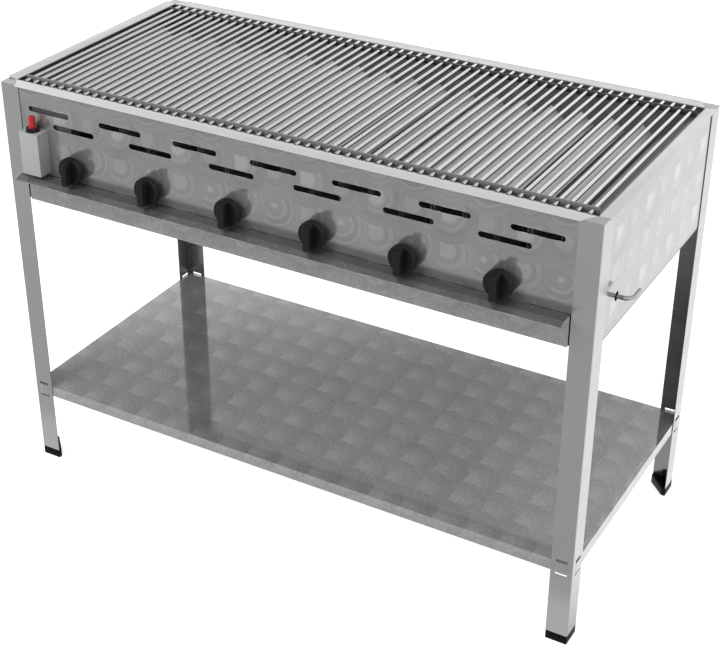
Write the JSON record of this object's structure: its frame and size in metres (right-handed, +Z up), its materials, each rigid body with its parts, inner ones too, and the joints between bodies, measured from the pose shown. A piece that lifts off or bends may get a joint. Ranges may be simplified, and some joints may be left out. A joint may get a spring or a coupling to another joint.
{
  "type": "gas charbroiler grill on an open stand",
  "caption": "Free-standing sheet-steel gas charbroiler: round-bar grate over roofed flame covers, front knobs, push igniter, pull-out drip tray, low shelf and angle legs.",
  "frame": {"origin": "on the floor under the middle of the bounding box", "axes": "+X to the right seen from the knobs, along the width; +Y to the rear; +Z up"},
  "size_m": [1.3322, 0.643, 0.914],
  "materials": {
    "leg_steel": "plain satin stainless sheet",
    "foot_plastic": "black moulded",
    "panel_steel": "stainless sheet with engine-turned swirls",
    "side_steel": "stainless sheet with engine-turned swirls",
    "shelf_steel": "stainless sheet with a square grid of turned discs",
    "tray_steel": "stainless sheet with engine-turned swirls",
    "rail_steel": "plain folded sheet",
    "rod_steel": "polished round bar",
    "cover_steel": "plain folded sheet",
    "burner_iron": "cast, black",
    "manifold_steel": "drawn tube",
    "pipe_steel": "drawn tube",
    "valve_brass": "turned",
    "knob_plastic": "black moulded",
    "box_grey": "light grey moulded",
    "collar_plastic": "black moulded",
    "button_red": "red moulded",
    "ceramic": "insulating body"
  },
  "bodies": {
    "stand": {"leg_front_left": "leg_steel", "leg_front_right": "leg_steel", "leg_rear_left": "leg_steel", "leg_rear_right": "leg_steel", "foot_front_left": "foot_plastic", "foot_front_right": "foot_plastic", "foot_rear_left": "foot_plastic", "foot_rear_right": "foot_plastic", "front_panel": "panel_steel", "rear_panel": "panel_steel", "side_panel_left": "side_steel", "side_panel_right": "side_steel", "shelf": "shelf_steel", "tray_runner_left": "rail_steel", "tray_runner_right": "rail_steel", "grate_rail_left": "rail_steel", "grate_rail_right": "rail_steel", "flame_cover_1": "cover_steel", "flame_cover_2": "cover_steel", "flame_cover_3": "cover_steel", "flame_cover_4": "cover_steel", "flame_cover_5": "cover_steel", "flame_cover_6": "cover_steel", "cover_rails": "rail_steel", "burner_1": "burner_iron", "burner_2": "burner_iron", "burner_3": "burner_iron", "burner_4": "burner_iron", "burner_5": "burner_iron", "burner_6": "burner_iron", "burner_rail_front": "rail_steel", "burner_rail_rear": "rail_steel", "gas_manifold": "manifold_steel", "inlet_pipe": "pipe_steel", "gas_valve_1": "valve_brass", "gas_valve_2": "valve_brass", "gas_valve_3": "valve_brass", "gas_valve_4": "valve_brass", "gas_valve_5": "valve_brass", "gas_valve_6": "valve_brass", "igniter_box": "box_grey", "igniter_collar": "collar_plastic", "piezo_unit": "ceramic", "spark_electrode": "ceramic"},
    "grate": {"grate": "rod_steel"},
    "drip_tray": {"drip_tray": "tray_steel"},
    "igniter_button": {"igniter_button": "button_red"},
    "knob_1": {"knob_1": "knob_plastic", "valve_stem_1": "pipe_steel"},
    "knob_2": {"knob_2": "knob_plastic", "valve_stem_2": "pipe_steel"},
    "knob_3": {"knob_3": "knob_plastic", "valve_stem_3": "pipe_steel"},
    "knob_4": {"knob_4": "knob_plastic", "valve_stem_4": "pipe_steel"},
    "knob_5": {"knob_5": "knob_plastic", "valve_stem_5": "pipe_steel"},
    "knob_6": {"knob_6": "knob_plastic", "valve_stem_6": "pipe_steel"}
  },
  "joints": [
    {"name": "knob_1_turn", "type": "hinge", "parent": "stand", "child": "knob_1", "pos_m": [-0.48762, -0.2835, 0.759], "axis": [0, -1, 0], "range_deg": [0, 180]},
    {"name": "knob_2_turn", "type": "hinge", "parent": "stand", "child": "knob_2", "pos_m": [-0.29862, -0.2835, 0.759], "axis": [0, -1, 0], "range_deg": [0, 180]},
    {"name": "knob_3_turn", "type": "hinge", "parent": "stand", "child": "knob_3", "pos_m": [-0.10963, -0.2835, 0.759], "axis": [0, -1, 0], "range_deg": [0, 180]},
    {"name": "knob_4_turn", "type": "hinge", "parent": "stand", "child": "knob_4", "pos_m": [0.07938, -0.2835, 0.759], "axis": [0, -1, 0], "range_deg": [0, 180]},
    {"name": "knob_5_turn", "type": "hinge", "parent": "stand", "child": "knob_5", "pos_m": [0.26837, -0.2835, 0.759], "axis": [0, -1, 0], "range_deg": [0, 180]},
    {"name": "knob_6_turn", "type": "hinge", "parent": "stand", "child": "knob_6", "pos_m": [0.45737, -0.2835, 0.759], "axis": [0, -1, 0], "range_deg": [0, 180]},
    {"name": "igniter_press", "type": "slide", "parent": "stand", "child": "igniter_button", "axis": [0, 0, -1], "range_m": [0, 0.006], "stiffness_N_per_m": 1500, "springref_m": -0.002},
    {"name": "grate_lift", "type": "slide", "parent": "stand", "child": "grate", "axis": [0, 0, 1], "range_m": [0, 0.25]},
    {"name": "tray_slide", "type": "slide", "parent": "stand", "child": "drip_tray", "axis": [0, -1, 0], "range_m": [0, 0.45]}
  ]
}
